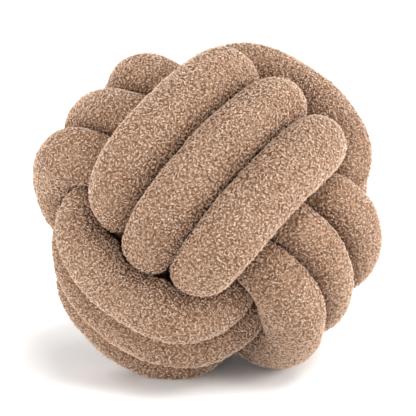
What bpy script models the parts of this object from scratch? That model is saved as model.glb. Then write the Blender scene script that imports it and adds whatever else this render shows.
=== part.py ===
"""Knot cushion: one long stuffed cloth tube tied into a ball.

The ball is a three-strand knot. Three sets of three turns wrap one another, so that each of
the six faces shows three strands side by side, and each face lies square to its neighbours.
All nine turns are one closed tube, sewn end to end inside the ball.
Lengths are in millimetres and angles in degrees; the mesh is written in metres.
"""
import math

import bmesh
import bpy
import numpy as np

NAME = "knot_cushion"
MM = 0.001

TUBE_RADIUS = 26.0     # stuffed tube, where nothing presses on it
SWELL = 32.0           # how much further it fills the room in the middle of the ball
GAP = 2.0              # air between neighbouring strands
CROWN_MID = 124.5      # ball centre to the centreline of a face's middle strand
CROWN_SIDE = 121.0     # the same for the two outer strands of a face
WAIST_MID = 86.0       # the same where the middle strand passes inside
WAIST_SIDE = 57.0      # the same where an outer strand passes inside
STEP_OUT = 47.0        # sideways distance between strands on a face
STEP_IN = 29.5         # the same inside the ball
DIVE_FROM = 24.0       # angle from the crown where a strand starts to sink
DIVE_TO = 73.0         # angle from the crown where it is at the waist
SHIFT = 52.5           # half the angle in which a strand moves over by one place
LEAD_IN = 28.5         # angle where a set takes over from the set before
LEAD_OUT = 26.5        # angle left out at the end of a set
REACH = 48.0           # pull of the bend from one set to the next
SETTLE = 12.0          # depth pressed flat where the ball stands
SOFTEN = 11.0          # rounding length along the tube

# A hand-tied knot is not even: lift moves a strand of a face outward, slide moves it sideways.
FACES = {
    #        set  half   lift of each strand   slide of each strand
    "back":  ("A", 0, (0.0, 0.0, 0.0),    (0.0, 0.0, 0.0)),
    "front": ("A", 1, (8.0, 6.0, 6.5),    (-5.0, -3.5, -1.0)),
    "left":  ("B", 0, (-5.5, -7.5, -6.5), (-2.0, -4.0, -0.5)),
    "right": ("B", 1, (3.5, 3.5, 4.5),    (0.5, 0.5, 0.5)),
    "low":   ("C", 0, (2.0, -3.0, -5.5),  (16.0, 8.5, 10.0)),
    "high":  ("C", 1, (-1.5, 0.0, 2.5),   (-9.5, -12.0, -7.5)),
}
SETS = ("A", "B", "C")

# How the tied ball is turned before it is put down.
TURN_ROLL = 46.0
TURN_YAW = 22.5
TURN_PITCH = 14.0
TURN_LEAN = 12.0

RINGS = 400
SIDES = 12
FINE = 2000            # centreline points used to find the neighbours


def ease(t):
    t = np.clip(t, 0.0, 1.0)
    return t * t * (3.0 - 2.0 * t)


def turns(name, count=900):
    """Three turns of one set, as the first set lies."""
    angle = np.linspace(LEAD_IN, 1080.0 - LEAD_OUT, count)
    from_crown = np.abs(angle % 180.0 - 90.0)
    out = 1.0 - ease((from_crown - DIVE_FROM) / (DIVE_TO - DIVE_FROM))
    place = -1.0 + ease((angle - 360.0 + SHIFT) / (2 * SHIFT))
    place = place + ease((angle - 720.0 + SHIFT) / (2 * SHIFT))
    side = place ** 2
    crown = CROWN_MID + (CROWN_SIDE - CROWN_MID) * side
    waist = WAIST_MID + (WAIST_SIDE - WAIST_MID) * side
    lift = np.zeros(count)
    slide = np.zeros(count)
    turn_number = np.minimum(angle // 360.0, 2).astype(int)
    for face_set, half, face_lift, face_slide in FACES.values():
        if face_set == name:
            here = ((angle % 360.0) >= 180.0) == (half == 1)
            lift = np.where(here, np.array(face_lift)[turn_number], lift)
            slide = np.where(here, np.array(face_slide)[turn_number], slide)
    radius = waist + (crown + lift - waist) * out
    across = place * (STEP_IN + (STEP_OUT - STEP_IN) * out) + slide * out
    turn = np.radians(angle)
    return np.stack([radius * np.cos(turn), across, -radius * np.sin(turn)], 1)


def bend(p0, d0, p1, d1, count=120):
    t = np.linspace(0.0, 1.0, count)[1:-1, None]
    a = (1 - t) ** 3 * p0 + 3 * (1 - t) ** 2 * t * (p0 + d0)
    return a + 3 * (1 - t) * t * t * (p1 - d1) + t ** 3 * p1


def unit(v):
    return v / np.linalg.norm(v, axis=-1, keepdims=True)


def centreline(count):
    """Evenly spaced points on the closed centreline, as tied."""
    sets = []
    for k, name in enumerate(SETS):
        line = turns(name)
        for _ in range(k):
            line = line[:, [2, 0, 1]]
        sets.append(line)
    parts = []
    for k in range(3):
        line, after = sets[k], sets[(k + 1) % 3]
        leave = unit(line[-1] - line[-2]) * REACH
        enter = unit(after[1] - after[0]) * REACH
        parts += [line, bend(line[-1], leave, after[0], enter)]
    full = np.concatenate(parts)
    full = np.vstack([full, full[:1]])
    run = np.concatenate([[0.0], np.cumsum(np.linalg.norm(np.diff(full, axis=0), axis=1))])
    fine = np.linspace(0.0, run[-1], FINE, endpoint=False)
    line = np.stack([np.interp(fine, run, full[:, i]) for i in range(3)], 1)
    width = SOFTEN * FINE / run[-1]
    reach = int(3 * width)
    steps = np.arange(-reach, reach + 1)
    weight = np.exp(-0.5 * (steps / width) ** 2)
    weight = weight / weight.sum()
    line = sum(w * np.roll(line, k, axis=0) for w, k in zip(weight, steps))
    at = np.linspace(0.0, FINE, count, endpoint=False)
    wrap = np.vstack([line, line[:1]])
    return np.stack([np.interp(at, np.arange(FINE + 1), wrap[:, i]) for i in range(3)], 1)


def lay_down(points):
    """Turn the tied ball to the way it stands."""
    r, a, b, e = np.radians([TURN_ROLL, TURN_YAW, TURN_PITCH, TURN_LEAN])
    roll = np.array([[math.cos(r), -math.sin(r), 0], [math.sin(r), math.cos(r), 0], [0, 0, 1]])
    yaw = np.array([[math.cos(a), 0, math.sin(a)], [0, 1, 0], [-math.sin(a), 0, math.cos(a)]])
    pitch = np.array([[1, 0, 0], [0, math.cos(b), math.sin(b)], [0, -math.sin(b), math.cos(b)]])
    lean = np.array([[1, 0, 0], [0, math.sin(e), -math.cos(e)], [0, math.cos(e), math.sin(e)]])
    return points @ (lean @ roll @ yaw @ pitch).T


def rings_frame(line):
    """Two directions across the tube at each point, without twist at the join."""
    n = len(line)
    along = unit(np.roll(line, -1, 0) - np.roll(line, 1, 0))
    across = np.zeros_like(along)
    across[0] = unit(np.cross(along[0], (0.3, 0.5, 0.8)))
    for i in range(1, n):
        v = across[i - 1] - along[i] * np.dot(across[i - 1], along[i])
        across[i] = unit(v)
    end = unit(across[-1] - along[0] * np.dot(across[-1], along[0]))
    sine = np.dot(np.cross(end, across[0]), along[0])
    twist = math.atan2(sine, np.dot(end, across[0])) * np.arange(n) / n
    other = np.cross(along, across)
    first = across * np.cos(twist)[:, None] + other * np.sin(twist)[:, None]
    return along, first, np.cross(along, first)


def squash(line, fine, floor):
    """Radius at each ring and side: the free tube, pressed by its neighbours and the floor."""
    n = len(line)
    along, first, second = rings_frame(line)
    turn = np.linspace(0.0, 2 * math.pi, SIDES, endpoint=False)
    out = np.cos(turn)[None, :, None] * first[:, None] + np.sin(turn)[None, :, None] * second[:, None]
    length = np.linalg.norm(np.roll(fine, -1, 0) - fine, axis=1).sum()
    spot = np.arange(n) / n
    fine_spot = np.arange(len(fine)) / len(fine)
    room = np.full((n, SIDES), 1e6)
    for i in range(n):
        apart = np.abs(fine_spot - spot[i])
        apart = np.minimum(apart, 1.0 - apart) * length
        off = fine - line[i]
        far = np.linalg.norm(off, axis=1)
        near = (far < 2.1 * (TUBE_RADIUS + SWELL)) & (apart > 2.2 * TUBE_RADIUS)
        if near.any():
            off, far = off[near], far[near]
            facing = out[i] @ off.T
            half = 0.5 * far ** 2 - 0.5 * GAP * far
            limit = np.where(facing > 1e-3, half / np.maximum(facing, 1e-3), 1e6)
            room[i] = limit.min(axis=1)
    inward = -(out * unit(line)[:, None]).sum(axis=2)
    whole = TUBE_RADIUS + SWELL * ease((inward - 0.15) / 0.6)
    free = (room ** -8.0 + whole ** -8.0) ** -0.125
    smooth = free
    for _ in range(2):
        smooth = 0.5 * smooth + 0.25 * (np.roll(smooth, 1, 1) + np.roll(smooth, -1, 1))
        smooth = np.minimum(smooth, room)
    drop = np.maximum(-out[:, :, 2], 1e-6)
    down = np.where(out[:, :, 2] < -1e-6, (line[:, 2] - floor)[:, None] / drop, 1e6)
    return out, np.minimum(smooth, down)


def tube_points():
    line = lay_down(centreline(RINGS))
    fine = lay_down(centreline(FINE))
    floor = line[:, 2].min() - TUBE_RADIUS + SETTLE
    out, radius = squash(line, fine, floor)
    points = line[:, None, :] + out * radius[:, :, None]
    low = points.reshape(-1, 3).min(axis=0)
    high = points.reshape(-1, 3).max(axis=0)
    middle = 0.5 * (low + high)
    return points - np.array([middle[0], middle[1], floor])


def clear():
    for item in list(bpy.data.objects):
        bpy.data.objects.remove(item, do_unlink=True)
    for item in list(bpy.data.collections):
        bpy.data.collections.remove(item)


def material(name, colour):
    mat = bpy.data.materials.new(name)
    mat.use_nodes = True
    shader = mat.node_tree.nodes["Principled BSDF"]
    shader.inputs["Base Color"].default_value = (*colour, 1.0)
    shader.inputs["Roughness"].default_value = 0.95
    return mat


def build():
    clear()
    group = bpy.data.collections.new(NAME)
    bpy.context.scene.collection.children.link(group)
    points = tube_points()
    mesh = bpy.data.meshes.new("knotted_tube")
    body = bmesh.new()
    grid = [[body.verts.new((p * MM).tolist()) for p in ring] for ring in points]
    for i in range(RINGS):
        for j in range(SIDES):
            a, b = grid[i][j], grid[i][(j + 1) % SIDES]
            c, d = grid[(i + 1) % RINGS][(j + 1) % SIDES], grid[(i + 1) % RINGS][j]
            if (a.co - c.co).length < (b.co - d.co).length:
                body.faces.new((a, b, c))
                body.faces.new((a, c, d))
            else:
                body.faces.new((a, b, d))
                body.faces.new((b, c, d))
    bmesh.ops.recalc_face_normals(body, faces=body.faces)
    if body.calc_volume(signed=True) < 0:
        bmesh.ops.reverse_faces(body, faces=body.faces)
    body.to_mesh(mesh)
    body.free()
    tube = bpy.data.objects.new("knotted_tube", mesh)
    mesh.shade_smooth()
    mesh.materials.append(material("boucle_fabric", (0.47, 0.33, 0.24)))
    group.objects.link(tube)


build()
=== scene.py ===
"""Looks for the knot cushion: a closed tube of curly fleece tied as a three-strand ball.

The cloth is the tube that the CAD is made with, with finer rings and small lumps in its stuffing.
Short curls of yarn lie all over the cloth that is open to the outside.
Lengths are in millimetres up to the meshes, which are in metres.
"""
import math

import bpy
import numpy as np
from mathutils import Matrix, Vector, noise
from mathutils.bvhtree import BVHTree


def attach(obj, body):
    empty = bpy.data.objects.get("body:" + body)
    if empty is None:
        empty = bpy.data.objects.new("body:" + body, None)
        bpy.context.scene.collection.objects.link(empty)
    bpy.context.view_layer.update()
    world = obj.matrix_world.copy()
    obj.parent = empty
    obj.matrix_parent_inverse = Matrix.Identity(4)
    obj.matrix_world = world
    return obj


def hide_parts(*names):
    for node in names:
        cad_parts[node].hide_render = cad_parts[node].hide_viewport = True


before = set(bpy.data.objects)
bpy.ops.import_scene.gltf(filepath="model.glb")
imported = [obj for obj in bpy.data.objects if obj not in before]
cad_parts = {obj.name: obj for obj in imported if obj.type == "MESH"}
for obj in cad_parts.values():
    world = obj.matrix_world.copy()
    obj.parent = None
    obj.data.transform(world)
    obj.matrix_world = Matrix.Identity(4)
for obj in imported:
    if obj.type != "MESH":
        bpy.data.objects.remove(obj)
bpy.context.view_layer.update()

MM = 0.001

# ---------------------------------------------------------------- the tied tube, in millimetres and degrees
# Apart from GAP and the counts, these sizes are the ones that the CAD tube is made with.
TUBE_RADIUS = 26.0     # stuffed tube, where nothing presses on it
SWELL = 32.0           # how much further it fills the room in the middle of the ball
GAP = 0.8              # air between neighbouring strands, before the lumps are added
CROWN_MID = 124.5      # ball centre to the centreline of a face's middle strand
CROWN_SIDE = 121.0     # the same for the two outer strands of a face
WAIST_MID = 86.0       # the same where the middle strand passes inside
WAIST_SIDE = 57.0      # the same where an outer strand passes inside
STEP_OUT = 47.0        # sideways distance between strands on a face
STEP_IN = 29.5         # the same inside the ball
DIVE_FROM = 24.0       # angle from the crown where a strand starts to sink
DIVE_TO = 73.0         # angle from the crown where it is at the waist
SHIFT = 52.5           # half the angle in which a strand moves over by one place
LEAD_IN = 28.5         # angle where a set takes over from the set before
LEAD_OUT = 26.5        # angle left out at the end of a set
REACH = 48.0           # pull of the bend from one set to the next
SETTLE = 12.0          # depth pressed flat where the ball stands
SOFTEN = 11.0          # rounding length along the tube

# A hand-tied knot is not even: lift moves a strand of a face outward, slide moves it sideways.
FACES = {
    #        set  half   lift of each strand   slide of each strand
    "back":  ("A", 0, (0.0, 0.0, 0.0),    (0.0, 0.0, 0.0)),
    "front": ("A", 1, (8.0, 6.0, 6.5),    (-5.0, -3.5, -1.0)),
    "left":  ("B", 0, (-5.5, -7.5, -6.5), (-2.0, -4.0, -0.5)),
    "right": ("B", 1, (3.5, 3.5, 4.5),    (0.5, 0.5, 0.5)),
    "low":   ("C", 0, (2.0, -3.0, -5.5),  (16.0, 8.5, 10.0)),
    "high":  ("C", 1, (-1.5, 0.0, 2.5),   (-9.5, -12.0, -7.5)),
}
SETS = ("A", "B", "C")

# How the tied ball is turned before it is put down.
TURN_ROLL = 46.0
TURN_YAW = 22.5
TURN_PITCH = 14.0
TURN_LEAN = 12.0

RINGS = 2000
SIDES = 32
FINE = 4000            # points at which the centreline is smoothed and neighbours are looked for
SMOOTHINGS = 6         # times the pressed radius is evened out
SWELL_FROM = 0.15      # a side that faces the middle by less than this share does not swell
SWELL_OVER = 0.6       # further share over which the swelling grows to the whole of it
PRESS_POWER = 8.0      # how sharply the free tube gives way to the room it has

# Lumps in the stuffing: height, width and seed of each layer.
LUMPS = ((0.9, 38.0, 1), (0.5, 15.0, 2), (0.35, 6.0, 3))

# ---------------------------------------------------------------- the pile, in millimetres
ROW_STEP = 2.1         # between rows of curls along the tube
CURL_STEP = 2.25       # between the curls of a row
SHAKE = 0.34           # how far a curl is off its place, as a share of the step
OPEN_ENOUGH = 0.17     # cloth with a smaller share of free rays is too deep in a groove for curls
OPEN_SMOOTHINGS = 4    # times the share of free rays is evened out
RAY_REACH = 90.0       # a ray that meets no cloth within this length is free
RAY_START = 0.8        # height above the cloth where it starts
SLANT_UP = 0.65        # the four slanting rays
SLANT_OUT = 0.76
CURL_BEND = (0.8, 1.4)       # least and greatest radius of a curl
CURL_SWEEP = (1.2, 2.3)      # half the angle that it turns through, in radians
CURL_RISE = (0.3, 1.4)
CURL_THICK = (0.42, 0.68)
CURL_TILT = 0.6
CURL_SPOTS = (-1.0, -0.42, 0.42, 1.0)    # tip, two rings, tip
CURL_ARCH = 1.1        # how far the tips drop, as a share of the rise
CURL_SINK = 0.2
CLUMP_SIZE = 4.5       # neighbouring curls rise and lighten together over this size
CLUMP_SEED = 4
CLUMP_RISE = 0.6
PILES = 4              # pieces that share the curls, each under 200,000 triangles
PILE_SEED = 20

# A tone of 0 is the dark end of the stops and 1 the light end.
# A curl has a tone of its own, with painted shade added deep in the grooves and at its tips; on the cloth
# the mark is only painted groove shade and takes away from what the shader draws.
TONE_MIDDLE = 0.6
TONE_SPREAD = 0.095
TONE_CLUMP = 0.16
TIP_PAINTED_SHADE = -0.18       # painted shade: a curl is coloured darker at its tips, where they sink into the cloth
GROOVE_PAINTED_SHADE = 0.42     # painted shade: how much darker cloth and curls are coloured where no ray gets away, deep in the grooves
# The cloth's own colour, painted darker than the curls as shade under the pile.
GROUND_AND_SHADE_STOPS = (
    (0.0, (0.134, 0.0552, 0.0249)),
    (0.5, (0.294, 0.167, 0.0952)),
    (1.0, (0.507, 0.338, 0.231)),
)
CURL_STOPS = (
    (0.0, (0.27, 0.135, 0.0748)),
    (0.5, (0.522, 0.348, 0.242)),
    (1.0, (0.696, 0.544, 0.435)),
)

# Scales are in noise cells per metre.
ROUGHNESS = 0.9
SPECULAR = 0.15
SHEEN = 0.5            # on the curls only
SHEEN_ROUGHNESS = 0.4
SHEEN_TINT = (1.0, 0.85, 0.73, 1.0)
CLOUD_SCALE = 28.0     # broad change of tone
CLOUD_TONE = 0.3
HAIR_SCALE = 1150.0    # single hairs of the yarn
HAIR_TONE = 0.5
HAIR_HEIGHT = 0.5
WORM_SCALE = 300.0     # drawn curls of the ground, as lines
WORM_SHARP = -7.0
LOOP_SCALE = 330.0     # and as loops
LOOP_RADIUS = 0.36
LOOP_SHARP = -5.0
# Painted shade: the ground's colour follows the height of its drawn curls, darker in the crevices and
# lighter on the ridges.
DRAWN_PAINTED_SHADE = 0.75
DRAWN_BASE = -0.1
CURL_BUMP = (0.5, 0.0004)      # strength, and height in metres
GROUND_BUMP = (1.0, 0.0014)

# ---------------------------------------------------------------- stage, camera and light, in metres
FLOOR_HALF = 6.0
FLOOR_COLOUR = (0.97, 0.97, 0.97)
VIEW_DISTANCE = 1.232
VIEW_RISE = math.radians(TURN_LEAN)
SENSOR_MM = 36.0
PIXELS = 416           # width of the picture that the focal length is given for
FOCAL_PIXELS = 1399.0
AIM_UP = 0.0068
AIM_RIGHT = 0.0011
LIGHTS = (
    # name          place               size   watts
    ("right",      (1.9, -0.4, 0.7),    1.0,   42.0),
    ("left",       (-1.8, -0.6, 0.25),  1.2,   38.0),
    ("low_front",  (-0.2, -1.8, 0.14),  1.0,   17.0),
    ("back_right", (1.2, 1.2, 1.5),     1.0,   14.0),
    ("back_left",  (-1.2, 1.2, 1.2),    1.0,   20.0),
)
KEY_FROM = (0.55, -0.6, 1.66)
KEY_STRENGTH = 2.9
KEY_SOFTNESS = math.radians(35.0)
# The world is white up to a little above the horizon and dim from there up.
# Each stop is at the sine of its angle above the horizon.
SKY_STOPS = ((0.18, (1.0, 1.0, 1.0)), (0.32, (0.2, 0.2, 0.2)))


def ease(t):
    t = np.clip(t, 0.0, 1.0)
    return t * t * (3.0 - 2.0 * t)


def unit(v):
    return v / np.linalg.norm(v, axis=-1, keepdims=True)


def turns(name, count=900):
    """Three turns of one set, as the first set lies."""
    angle = np.linspace(LEAD_IN, 1080.0 - LEAD_OUT, count)
    from_crown = np.abs(angle % 180.0 - 90.0)
    out = 1.0 - ease((from_crown - DIVE_FROM) / (DIVE_TO - DIVE_FROM))
    place = -1.0 + ease((angle - 360.0 + SHIFT) / (2 * SHIFT))
    place = place + ease((angle - 720.0 + SHIFT) / (2 * SHIFT))
    side = place ** 2
    crown = CROWN_MID + (CROWN_SIDE - CROWN_MID) * side
    waist = WAIST_MID + (WAIST_SIDE - WAIST_MID) * side
    lift = np.zeros(count)
    slide = np.zeros(count)
    turn_number = np.minimum(angle // 360.0, 2).astype(int)
    for face_set, half, face_lift, face_slide in FACES.values():
        if face_set == name:
            here = ((angle % 360.0) >= 180.0) == (half == 1)
            lift = np.where(here, np.array(face_lift)[turn_number], lift)
            slide = np.where(here, np.array(face_slide)[turn_number], slide)
    radius = waist + (crown + lift - waist) * out
    across = place * (STEP_IN + (STEP_OUT - STEP_IN) * out) + slide * out
    turn = np.radians(angle)
    return np.stack([radius * np.cos(turn), across, -radius * np.sin(turn)], 1)


def bend(p0, d0, p1, d1, count=120):
    t = np.linspace(0.0, 1.0, count)[1:-1, None]
    a = (1 - t) ** 3 * p0 + 3 * (1 - t) ** 2 * t * (p0 + d0)
    return a + 3 * (1 - t) * t * t * (p1 - d1) + t ** 3 * p1


def centreline(count):
    sets = []
    for k, name in enumerate(SETS):
        line = turns(name)
        for _ in range(k):
            line = line[:, [2, 0, 1]]
        sets.append(line)
    parts = []
    for k in range(3):
        line, after = sets[k], sets[(k + 1) % 3]
        leave = unit(line[-1] - line[-2]) * REACH
        enter = unit(after[1] - after[0]) * REACH
        parts += [line, bend(line[-1], leave, after[0], enter)]
    full = np.concatenate(parts)
    full = np.vstack([full, full[:1]])
    run = np.concatenate([[0.0], np.cumsum(np.linalg.norm(np.diff(full, axis=0), axis=1))])
    fine = np.linspace(0.0, run[-1], FINE, endpoint=False)
    line = np.stack([np.interp(fine, run, full[:, i]) for i in range(3)], 1)
    width = SOFTEN * FINE / run[-1]
    reach = int(3 * width)
    steps = np.arange(-reach, reach + 1)
    weight = np.exp(-0.5 * (steps / width) ** 2)
    weight = weight / weight.sum()
    line = sum(w * np.roll(line, k, axis=0) for w, k in zip(weight, steps))
    at = np.linspace(0.0, FINE, count, endpoint=False)
    wrap = np.vstack([line, line[:1]])
    return np.stack([np.interp(at, np.arange(FINE + 1), wrap[:, i]) for i in range(3)], 1)


def lay_down(points):
    r, a, b, e = np.radians([TURN_ROLL, TURN_YAW, TURN_PITCH, TURN_LEAN])
    roll = np.array([[math.cos(r), -math.sin(r), 0], [math.sin(r), math.cos(r), 0], [0, 0, 1]])
    yaw = np.array([[math.cos(a), 0, math.sin(a)], [0, 1, 0], [-math.sin(a), 0, math.cos(a)]])
    pitch = np.array([[1, 0, 0], [0, math.cos(b), math.sin(b)], [0, -math.sin(b), math.cos(b)]])
    lean = np.array([[1, 0, 0], [0, math.sin(e), -math.cos(e)], [0, math.cos(e), math.sin(e)]])
    return points @ (lean @ roll @ yaw @ pitch).T


def rings_frame(line):
    n = len(line)
    along = unit(np.roll(line, -1, 0) - np.roll(line, 1, 0))
    across = np.zeros_like(along)
    across[0] = unit(np.cross(along[0], (0.3, 0.5, 0.8)))
    for i in range(1, n):
        v = across[i - 1] - along[i] * np.dot(across[i - 1], along[i])
        across[i] = unit(v)
    end = unit(across[-1] - along[0] * np.dot(across[-1], along[0]))
    sine = np.dot(np.cross(end, across[0]), along[0])
    twist = math.atan2(sine, np.dot(end, across[0])) * np.arange(n) / n
    other = np.cross(along, across)
    first = across * np.cos(twist)[:, None] + other * np.sin(twist)[:, None]
    return along, first, np.cross(along, first)


def squash(line, fine, floor):
    """Radius at each ring and side: the free tube, pressed by its neighbours and the floor."""
    n = len(line)
    along, first, second = rings_frame(line)
    turn = np.linspace(0.0, 2 * math.pi, SIDES, endpoint=False)
    out = np.cos(turn)[None, :, None] * first[:, None] + np.sin(turn)[None, :, None] * second[:, None]
    length = np.linalg.norm(np.roll(fine, -1, 0) - fine, axis=1).sum()
    spot = np.arange(n) / n
    fine_spot = np.arange(len(fine)) / len(fine)
    room = np.full((n, SIDES), 1e6)
    for i in range(n):
        apart = np.abs(fine_spot - spot[i])
        apart = np.minimum(apart, 1.0 - apart) * length
        off = fine - line[i]
        far = np.linalg.norm(off, axis=1)
        near = (far < 2.1 * (TUBE_RADIUS + SWELL)) & (apart > 2.2 * TUBE_RADIUS)
        if near.any():
            off, far = off[near], far[near]
            facing = out[i] @ off.T
            half = 0.5 * far ** 2 - 0.5 * GAP * far
            limit = np.where(facing > 1e-3, half / np.maximum(facing, 1e-3), 1e6)
            room[i] = limit.min(axis=1)
    inward = -(out * unit(line)[:, None]).sum(axis=2)
    whole = TUBE_RADIUS + SWELL * ease((inward - SWELL_FROM) / SWELL_OVER)
    free = (room ** -PRESS_POWER + whole ** -PRESS_POWER) ** (-1.0 / PRESS_POWER)
    smooth = free
    for _ in range(SMOOTHINGS):
        smooth = 0.5 * smooth + 0.25 * (np.roll(smooth, 1, 1) + np.roll(smooth, -1, 1))
        smooth = 0.5 * smooth + 0.25 * (np.roll(smooth, 1, 0) + np.roll(smooth, -1, 0))
        smooth = np.minimum(smooth, room)
    drop = np.maximum(-out[:, :, 2], 1e-6)
    down = np.where(out[:, :, 2] < -1e-6, (line[:, 2] - floor)[:, None] / drop, 1e6)
    return out, smooth, down


# ---------------------------------------------------------------- surface of the cloth
def lumps(points, size, seed):
    """Smooth noise from -1 to 1, one value for each point."""
    shift = Vector((seed * 7.3, seed * 3.1, seed * 5.7))
    return np.array([noise.noise(Vector(p) / size + shift) for p in points])


def grid_normals(points):
    ahead = np.roll(points, -1, 0) - np.roll(points, 1, 0)
    round_ = np.roll(points, -1, 1) - np.roll(points, 1, 1)
    return unit(np.cross(round_, ahead))


def make_tube():
    """The cloth's points, ring by ring, and the ball's centre."""
    line = lay_down(centreline(RINGS))
    fine = lay_down(centreline(FINE))
    floor = line[:, 2].min() - TUBE_RADIUS + SETTLE
    out, radius, down = squash(line, fine, floor)
    rest = line[:, None, :] + out * np.minimum(radius, down)[:, :, None]
    flat = rest.reshape(-1, 3)
    middle = 0.5 * (flat.min(axis=0) + flat.max(axis=0))
    move = np.array([middle[0], middle[1], floor])
    uneven = sum(height * lumps(flat, size, seed) for height, size, seed in LUMPS)
    radius = radius + uneven.reshape(radius.shape)
    radius = np.minimum(radius, down)
    points = line[:, None, :] + out * radius[:, :, None] - move
    return points, -move


def mesh_object(name, verts, faces, smooth=True):
    mesh = bpy.data.meshes.new(name)
    sizes = faces.shape[1]
    mesh.vertices.add(len(verts))
    mesh.vertices.foreach_set("co", np.asarray(verts, np.float32).ravel())
    mesh.loops.add(faces.size)
    mesh.loops.foreach_set("vertex_index", faces.astype(np.int32).ravel())
    mesh.polygons.add(len(faces))
    mesh.polygons.foreach_set("loop_start", np.arange(0, faces.size, sizes, dtype=np.int32))
    mesh.polygons.foreach_set("loop_total", np.full(len(faces), sizes, np.int32))
    mesh.update(calc_edges=True)
    mesh.validate()
    if smooth:
        mesh.shade_smooth()
    thing = bpy.data.objects.new(name, mesh)
    bpy.context.scene.collection.objects.link(thing)
    return thing


# The mark holds each point's tone with painted shade in it.
def mark_tone_and_shade(thing, tone_and_shade):
    mark = thing.data.attributes.new("tone_and_shade", "FLOAT", "POINT")
    mark.data.foreach_set("value", np.asarray(tone_and_shade, np.float32))


def tube_faces():
    i = np.arange(RINGS)[:, None]
    j = np.arange(SIDES)[None, :]
    a = i * SIDES + j
    b = i * SIDES + (j + 1) % SIDES
    c = ((i + 1) % RINGS) * SIDES + (j + 1) % SIDES
    d = ((i + 1) % RINGS) * SIDES + j
    return np.stack([a, b, c, d], 2).reshape(-1, 4)


def openness(points, normals, tree):
    """Share of a few rays that get away from each point."""
    side = unit(np.cross(normals, (0.31, 0.72, 0.62)))
    other = np.cross(normals, side)
    free = np.zeros(len(points))
    rays = [(1.0, 0.0, 0.0)]
    for k in range(4):
        turn = math.radians(45 + 90 * k)
        rays.append((SLANT_UP, SLANT_OUT * math.cos(turn), SLANT_OUT * math.sin(turn)))
    for up, x, y in rays:
        aim = normals * up + side * x + other * y
        start = points + normals * RAY_START
        for k in range(len(points)):
            if tree.ray_cast(Vector(start[k]), Vector(aim[k]), RAY_REACH)[0] is None:
                free[k] += 1
    return free / len(rays)


def curls(points, normals, along, curl_tones_and_shade, clumps, rng):
    """Small closed curls of yarn lying on the cloth: bent spindles of two rings and two tips."""
    n = len(points)
    side = unit(np.cross(normals, along))
    heading = rng.uniform(0, 2 * math.pi, n)
    ahead = unit(side * np.cos(heading)[:, None] + np.cross(normals, side) * np.sin(heading)[:, None])
    left = np.cross(normals, ahead)
    bend_r = rng.uniform(*CURL_BEND, n)
    sweep = rng.uniform(*CURL_SWEEP, n)
    rise = rng.uniform(*CURL_RISE, n) + CLUMP_RISE * clumps
    thick = rng.uniform(*CURL_THICK, n)
    tilt = rng.normal(0, CURL_TILT, n)
    centres = []
    for t in CURL_SPOTS:
        x = bend_r * np.sin(sweep * t)
        y = bend_r * (np.cos(sweep * t) - 0.5)
        z = rise * (1.0 - CURL_ARCH * t * t) + tilt * y - CURL_SINK
        centres.append(points + ahead * x[:, None] + left * y[:, None] + normals * z[:, None])
    centres = np.stack(centres, 1)
    ring = []
    for k in (1, 2):
        run = unit(centres[:, k + 1] - centres[:, k - 1])
        up = unit(normals - run * np.sum(normals * run, 1, keepdims=True))
        wide = np.cross(run, up)
        for c in range(3):
            turn = math.radians(90 + 120 * c)
            off = wide * math.cos(turn) + up * math.sin(turn)
            ring.append(centres[:, k] + off * thick[:, None])
    verts = np.stack([centres[:, 0], *ring, centres[:, 3]], 1)
    tris = []
    for c in range(3):
        d = (c + 1) % 3
        tris.append((0, 1 + d, 1 + c))
        tris.append((1 + c, 1 + d, 4 + d))
        tris.append((1 + c, 4 + d, 4 + c))
        tris.append((4 + c, 4 + d, 7))
    faces = (np.arange(n)[:, None, None] * 8 + np.array(tris)[None]).reshape(-1, 3)
    # painted shade at both tips of each curl
    shade = curl_tones_and_shade[:, None] + np.array([TIP_PAINTED_SHADE, 0.0, 0.0, 0.0, 0.0, 0.0, 0.0, TIP_PAINTED_SHADE])[None]
    return verts.reshape(-1, 3), faces, shade.ravel()


def lattice(points, normals, open_share, rng):
    """Even, slightly shaken places all over the cloth, with its normal and openness at each."""
    ring_step = np.linalg.norm(np.roll(points, -1, 0) - points, axis=2).mean()
    rows = int(RINGS * ring_step / ROW_STEP)
    row = np.arange(rows)
    column = np.arange(int(2 * math.pi * TUBE_RADIUS / CURL_STEP))
    at_ring = (row[:, None] + rng.normal(0, SHAKE, (rows, len(column)))) * RINGS / rows
    shift = 0.5 * (row % 2)[:, None]
    at_side = (column[None] + shift + rng.normal(0, SHAKE, (rows, len(column)))) * SIDES / len(column)
    i = np.floor(at_ring).astype(int)
    j = np.floor(at_side).astype(int)
    u = (at_ring - i)[:, :, None]
    v = (at_side - j)[:, :, None]
    i, j = i % RINGS, j % SIDES
    i1, j1 = (i + 1) % RINGS, (j + 1) % SIDES

    def blend(grid):
        near = grid[i, j] * (1 - v) + grid[i, j1] * v
        return near * (1 - u) + (grid[i1, j] * (1 - v) + grid[i1, j1] * v) * u

    place = blend(points).reshape(-1, 3)
    out = unit(blend(normals).reshape(-1, 3))
    share = blend(open_share[:, :, None]).ravel()
    return place, out, share


def even_out(grid):
    for _ in range(OPEN_SMOOTHINGS):
        around = sum(np.roll(grid, step, axis) for axis in (0, 1) for step in (-1, 1))
        grid = 0.2 * (grid + around)
    return grid


# ---------------------------------------------------------------- materials
def node(tree, kind, place, **values):
    made = tree.nodes.new(kind)
    made.location = place
    for key, value in values.items():
        setattr(made, key, value)
    return made


def math_node(tree, place, operation, *values, clamp=False):
    made = node(tree, "ShaderNodeMath", place, operation=operation, use_clamp=clamp)
    for slot, value in zip(made.inputs, values):
        if isinstance(value, (int, float)):
            slot.default_value = value
        else:
            tree.links.new(value, slot)
    return made.outputs[0]


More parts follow.
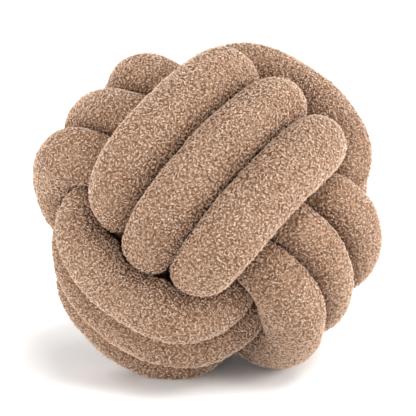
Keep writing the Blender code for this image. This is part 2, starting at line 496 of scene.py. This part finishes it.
def ramp_node(tree, place, fac, stops):
    made = node(tree, "ShaderNodeValToRGB", place)
    bar = made.color_ramp
    bar.elements[0].position, bar.elements[0].color = stops[0][0], (*stops[0][1], 1.0)
    bar.elements[1].position, bar.elements[1].color = stops[-1][0], (*stops[-1][1], 1.0)
    for spot, colour in stops[1:-1]:
        bar.elements.new(spot).color = (*colour, 1.0)
    tree.links.new(fac, made.inputs["Fac"])
    return made.outputs["Color"]


def noise_node(tree, place, coords, scale, detail, distortion=0.0):
    made = node(tree, "ShaderNodeTexNoise", place)
    made.inputs["Scale"].default_value = scale
    made.inputs["Detail"].default_value = detail
    made.inputs["Distortion"].default_value = distortion
    tree.links.new(coords, made.inputs["Vector"])
    return made.outputs["Fac"]


def fleece(name, stops, curly):
    """Curly fleece. The ground draws its own curls, with painted shade in their crevices; on a modelled
    curl each one has its own tone. Both add the painted shade marked on the mesh.
    """
    mat = bpy.data.materials.new(name)
    mat.use_nodes = True
    tree = mat.node_tree
    shader = tree.nodes["Principled BSDF"]
    shader.inputs["Roughness"].default_value = ROUGHNESS
    shader.inputs["Specular IOR Level"].default_value = SPECULAR
    shader.inputs["Sheen Weight"].default_value = SHEEN if curly else 0.0
    shader.inputs["Sheen Roughness"].default_value = SHEEN_ROUGHNESS
    shader.inputs["Sheen Tint"].default_value = SHEEN_TINT
    coords = node(tree, "ShaderNodeTexCoord", (-1700, 0)).outputs["Object"]
    cloud = noise_node(tree, (-1500, 500), coords, CLOUD_SCALE, 3.0)
    hair = noise_node(tree, (-1500, -500), coords, HAIR_SCALE, 2.0)
    # the mesh's tone mark, which carries the painted groove and tip shade
    tone_and_shade = node(tree, "ShaderNodeAttribute", (-1500, 350), attribute_name="tone_and_shade").outputs["Fac"]
    if curly:
        height = hair
        total = math_node(tree, (-900, 200), "MULTIPLY_ADD", hair, HAIR_TONE, -0.5 * HAIR_TONE)
    else:
        worm = noise_node(tree, (-1500, 200), coords, WORM_SCALE, 1.0, 1.4)
        worm = math_node(tree, (-1300, 200), "SUBTRACT", worm, 0.5)
        worm = math_node(tree, (-1150, 200), "ABSOLUTE", worm)
        worm = math_node(tree, (-1000, 200), "MULTIPLY_ADD", worm, WORM_SHARP, 1.0, clamp=True)
        loop = node(tree, "ShaderNodeTexVoronoi", (-1500, -150))
        loop.inputs["Scale"].default_value = LOOP_SCALE
        tree.links.new(coords, loop.inputs["Vector"])
        ring = math_node(tree, (-1300, -150), "SUBTRACT", loop.outputs["Distance"], LOOP_RADIUS)
        ring = math_node(tree, (-1150, -150), "ABSOLUTE", ring)
        ring = math_node(tree, (-1000, -150), "MULTIPLY_ADD", ring, LOOP_SHARP, 1.0, clamp=True)
        height = math_node(tree, (-850, 50), "MAXIMUM", worm, ring)
        height = math_node(tree, (-700, 50), "MULTIPLY_ADD", hair, HAIR_HEIGHT, height)
        # painted shade: darker in the drawn crevices, lighter on the drawn ridges
        total = math_node(tree, (-550, 200), "MULTIPLY_ADD", height, DRAWN_PAINTED_SHADE, DRAWN_BASE)
    cloud = math_node(tree, (-1300, 500), "MULTIPLY_ADD", cloud, CLOUD_TONE, -0.5 * CLOUD_TONE)
    total = math_node(tree, (-400, 200), "ADD", total, tone_and_shade)
    total = math_node(tree, (-400, 400), "ADD", total, cloud)
    tree.links.new(ramp_node(tree, (-330, 300), total, stops), shader.inputs["Base Color"])
    bump = node(tree, "ShaderNodeBump", (-300, -250))
    strength, height_m = CURL_BUMP if curly else GROUND_BUMP
    bump.inputs["Strength"].default_value = strength
    bump.inputs["Distance"].default_value = height_m
    tree.links.new(height, bump.inputs["Height"])
    tree.links.new(bump.outputs["Normal"], shader.inputs["Normal"])
    return mat


def plain(name, colour, rough):
    mat = bpy.data.materials.new(name)
    mat.use_nodes = True
    shader = mat.node_tree.nodes["Principled BSDF"]
    shader.inputs["Base Color"].default_value = (*colour, 1.0)
    shader.inputs["Roughness"].default_value = rough
    shader.inputs["Specular IOR Level"].default_value = 0.0
    return mat


def area_light(name, spot, size, watts, centre):
    lamp = bpy.data.lights.new(name, "AREA")
    lamp.size = size
    lamp.energy = watts
    thing = bpy.data.objects.new(name, lamp)
    bpy.context.scene.collection.objects.link(thing)
    thing.location = spot
    thing.rotation_euler = (centre - Vector(spot)).to_track_quat("-Z", "Y").to_euler()


# ---------------------------------------------------------------- build
def make_cloth(points):
    cloth = mesh_object("knotted_tube_cloth", points.reshape(-1, 3) * MM, tube_faces())
    cloth.data.materials.append(fleece("fleece_ground", GROUND_AND_SHADE_STOPS, False))
    return cloth


def make_pile(points, normals, open_share):
    """The curls, shared out over a few pieces."""
    rng = np.random.default_rng(PILE_SEED)
    place, out, share = lattice(points, normals, open_share, rng)
    keep = np.flatnonzero(share > OPEN_ENOUGH)
    place, out, share = place[keep], out[keep], share[keep]
    along = unit(np.cross(out, (0.36, 0.48, 0.8)))
    clumps = lumps(place, CLUMP_SIZE, CLUMP_SEED)
    curl_tones_and_shade = rng.normal(TONE_MIDDLE, TONE_SPREAD, len(keep)) + TONE_CLUMP * clumps
    # painted shade: curls deep in a groove are coloured darker
    curl_tones_and_shade = np.clip(curl_tones_and_shade - GROOVE_PAINTED_SHADE * (1 - share), 0, 1)
    cover = fleece("fleece_curls", CURL_STOPS, True)
    pile = []
    per_piece = math.ceil(len(keep) / PILES)
    for k in range(PILES):
        pick = slice(k * per_piece, (k + 1) * per_piece)
        body, faces, tone_and_shade = curls(place[pick], out[pick], along[pick], curl_tones_and_shade[pick], clumps[pick], rng)
        body[:, 2] = np.maximum(body[:, 2], 0.0)
        piece = mesh_object(f"fleece_curls_{k + 1}", body * MM, faces)
        mark_tone_and_shade(piece, tone_and_shade)
        piece.data.materials.append(cover)
        pile.append(piece)
    return pile


def make_floor():
    h = FLOOR_HALF
    corners = np.array([[-h, -h, 0], [h, -h, 0], [h, h, 0], [-h, h, 0]], float)
    ground = mesh_object("floor", corners, np.array([[0, 1, 2, 3]]), smooth=False)
    ground.data.materials.append(plain("floor_pale", FLOOR_COLOUR, ROUGHNESS))
    return ground


def make_camera(centre):
    toward = Vector((0.0, -math.cos(VIEW_RISE), math.sin(VIEW_RISE)))
    upward = Vector((0.0, math.sin(VIEW_RISE), math.cos(VIEW_RISE)))
    aim = centre + upward * AIM_UP + Vector((AIM_RIGHT, 0.0, 0.0))
    camera = bpy.data.objects.new("camera", bpy.data.cameras.new("camera"))
    bpy.context.scene.collection.objects.link(camera)
    camera.location = aim + toward * VIEW_DISTANCE
    camera.rotation_euler = (math.pi / 2 - VIEW_RISE, 0.0, 0.0)
    camera.data.sensor_width = SENSOR_MM
    camera.data.lens = SENSOR_MM * FOCAL_PIXELS / PIXELS
    camera.data.clip_end = 50.0
    bpy.context.scene.camera = camera


def make_light(centre):
    for name, spot, size, watts in LIGHTS:
        area_light(name, spot, size, watts, centre)
    key = bpy.data.lights.new("key", "SUN")
    key.energy = KEY_STRENGTH
    key.angle = KEY_SOFTNESS
    key_thing = bpy.data.objects.new("key", key)
    bpy.context.scene.collection.objects.link(key_thing)
    key_thing.rotation_euler = Vector(KEY_FROM).to_track_quat("Z", "Y").to_euler()
    world = bpy.data.worlds.new("studio")
    bpy.context.scene.world = world
    world.use_nodes = True
    sky = world.node_tree
    up = node(sky, "ShaderNodeSeparateXYZ", (-500, 0))
    sky.links.new(node(sky, "ShaderNodeTexCoord", (-700, 0)).outputs["Generated"], up.inputs[0])
    glow = ramp_node(sky, (-300, 0), up.outputs["Z"], SKY_STOPS)
    sky.links.new(glow, sky.nodes["Background"].inputs["Color"])
    bpy.context.scene.view_settings.view_transform = "Standard"


points, ball_centre = make_tube()
normals = grid_normals(points)
if (normals * (points - points.mean(1, keepdims=True))).sum() < 0:
    normals = -normals
verts = points.reshape(-1, 3)
cloth = make_cloth(points)
tree = BVHTree.FromPolygons([Vector(v) for v in verts], tube_faces().tolist())
open_share = openness(verts, normals.reshape(-1, 3), tree).reshape(RINGS, SIDES)
open_share = even_out(open_share)
# painted shade on the cloth: darker where few rays get away, in the grooves
mark_tone_and_shade(cloth, -GROOVE_PAINTED_SHADE * (1 - open_share.ravel()))
pile = make_pile(points, normals, open_share)

for piece in [cloth, *pile]:
    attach(piece, "root")
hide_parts("knotted_tube")

floor_mesh = make_floor()
ball_middle = Vector((ball_centre * MM).tolist())
make_camera(ball_middle)
make_light(ball_middle)
